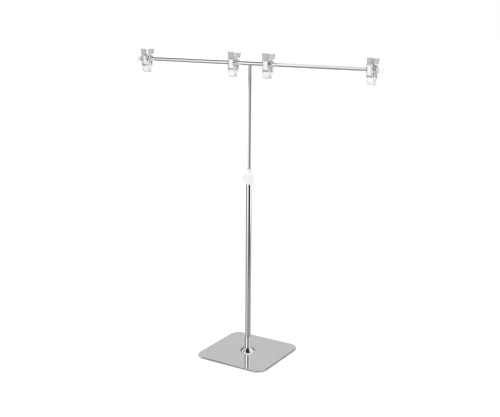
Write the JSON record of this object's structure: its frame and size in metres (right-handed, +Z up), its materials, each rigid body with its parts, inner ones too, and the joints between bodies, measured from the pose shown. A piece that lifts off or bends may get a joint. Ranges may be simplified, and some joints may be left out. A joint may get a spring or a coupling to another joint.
{
  "type": "telescopic t-bar display stand",
  "caption": "Square base plate, telescopic chrome pole with a clear twist lock, and a cross bar that carries sliding pinch clips for posters and garments.",
  "frame": {"origin": "centre of the footprint, on the plane of the foot pads' undersides", "axes": "+Z up the pole, +X along the cross bar, +Y to the rear, so that the clips' front jaws face -Y"},
  "size_m": [0.696, 0.2, 0.772],
  "materials": {
    "plate": "polished",
    "pad": "matt",
    "steel": "plated",
    "tube": "polished",
    "nylon": "matt",
    "clear": "clear plastic, glossy",
    "natural": "natural, slightly milky",
    "spring": "bright spring steel"
  },
  "bodies": {
    "base": {"base_plate": "plate", "foot_pads": "pad", "base_screw": "steel", "escutcheon": "tube", "outer_tube": "tube", "tube_plug": "steel", "coupler_body": "natural"},
    "lock": {"lock_nut": "natural"},
    "slider": {"guide_bush": "nylon"},
    "mast": {"inner_tube": "tube", "bush_rings": "steel", "mast_insert": "steel", "bar_stud": "steel", "bar_nut": "steel", "bar_saddle": "steel", "cross_bar": "tube", "end_cap_left": "natural", "end_cap_right": "natural"},
    "clip_1_carrier": {"clip_1_bush": "clear"},
    "clip_1_front": {"clip_1_front_jaw": "clear", "clip_1_spring": "spring"},
    "clip_1_rear": {"clip_1_rear_jaw": "clear"},
    "clip_2_carrier": {"clip_2_bush": "clear"},
    "clip_2_front": {"clip_2_front_jaw": "clear", "clip_2_spring": "spring"},
    "clip_2_rear": {"clip_2_rear_jaw": "clear"},
    "clip_3_carrier": {"clip_3_bush": "clear"},
    "clip_3_front": {"clip_3_front_jaw": "clear", "clip_3_spring": "spring"},
    "clip_3_rear": {"clip_3_rear_jaw": "clear"},
    "clip_4_carrier": {"clip_4_bush": "clear"},
    "clip_4_front": {"clip_4_front_jaw": "clear", "clip_4_spring": "spring"},
    "clip_4_rear": {"clip_4_rear_jaw": "clear"}
  },
  "joints": [
    {"name": "lock_turn", "type": "hinge", "parent": "base", "child": "lock", "pos_m": [0, 0, 0.465], "axis": [0, 0, 1], "range_deg": [0, 120]},
    {"name": "mast_slide", "type": "slide", "parent": "base", "child": "slider", "axis": [0, 0, 1], "range_m": [-0.215, 0.148]},
    {"name": "mast_turn", "type": "hinge", "parent": "slider", "child": "mast", "pos_m": [0, 0, 0.6], "axis": [0, 0, 1], "continuous": true},
    {"name": "clip_1_slide", "type": "slide", "parent": "mast", "child": "clip_1_carrier", "axis": [1, 0, 0], "range_m": [-0.0077, 0.138]},
    {"name": "clip_1_swing", "type": "hinge", "parent": "clip_1_carrier", "child": "clip_1_front", "pos_m": [-0.3123, 0, 0.745], "axis": [1, 0, 0], "continuous": true},
    {"name": "clip_1_squeeze", "type": "hinge", "parent": "clip_1_front", "child": "clip_1_rear", "pos_m": [-0.3123, 0, 0.745], "axis": [1, 0, 0], "range_deg": [0, 20], "stiffness_Nm_per_rad": 0.3, "springref_deg": -20.05, "deforming": ["clip_1_spring"]},
    {"name": "clip_2_slide", "type": "slide", "parent": "mast", "child": "clip_2_carrier", "axis": [1, 0, 0], "range_m": [-0.104, 0.0311]},
    {"name": "clip_2_swing", "type": "hinge", "parent": "clip_2_carrier", "child": "clip_2_front", "pos_m": [-0.0468, 0, 0.745], "axis": [1, 0, 0], "continuous": true},
    {"name": "clip_2_squeeze", "type": "hinge", "parent": "clip_2_front", "child": "clip_2_rear", "pos_m": [-0.0468, 0, 0.745], "axis": [1, 0, 0], "range_deg": [0, 20], "stiffness_Nm_per_rad": 0.3, "springref_deg": -20.05, "deforming": ["clip_2_spring"]},
    {"name": "clip_3_slide", "type": "slide", "parent": "mast", "child": "clip_3_carrier", "axis": [1, 0, 0], "range_m": [-0.035, 0.1]},
    {"name": "clip_3_swing", "type": "hinge", "parent": "clip_3_carrier", "child": "clip_3_front", "pos_m": [0.0504, 0, 0.745], "axis": [1, 0, 0], "continuous": true},
    {"name": "clip_3_squeeze", "type": "hinge", "parent": "clip_3_front", "child": "clip_3_rear", "pos_m": [0.0504, 0, 0.745], "axis": [1, 0, 0], "range_deg": [0, 20], "stiffness_Nm_per_rad": 0.3, "springref_deg": -20.05, "deforming": ["clip_3_spring"]},
    {"name": "clip_4_slide", "type": "slide", "parent": "mast", "child": "clip_4_carrier", "axis": [1, 0, 0], "range_m": [-0.1435, 0.002]},
    {"name": "clip_4_swing", "type": "hinge", "parent": "clip_4_carrier", "child": "clip_4_front", "pos_m": [0.318, 0, 0.745], "axis": [1, 0, 0], "continuous": true},
    {"name": "clip_4_squeeze", "type": "hinge", "parent": "clip_4_front", "child": "clip_4_rear", "pos_m": [0.318, 0, 0.745], "axis": [1, 0, 0], "range_deg": [0, 20], "stiffness_Nm_per_rad": 0.3, "springref_deg": -20.05, "deforming": ["clip_4_spring"]}
  ]
}
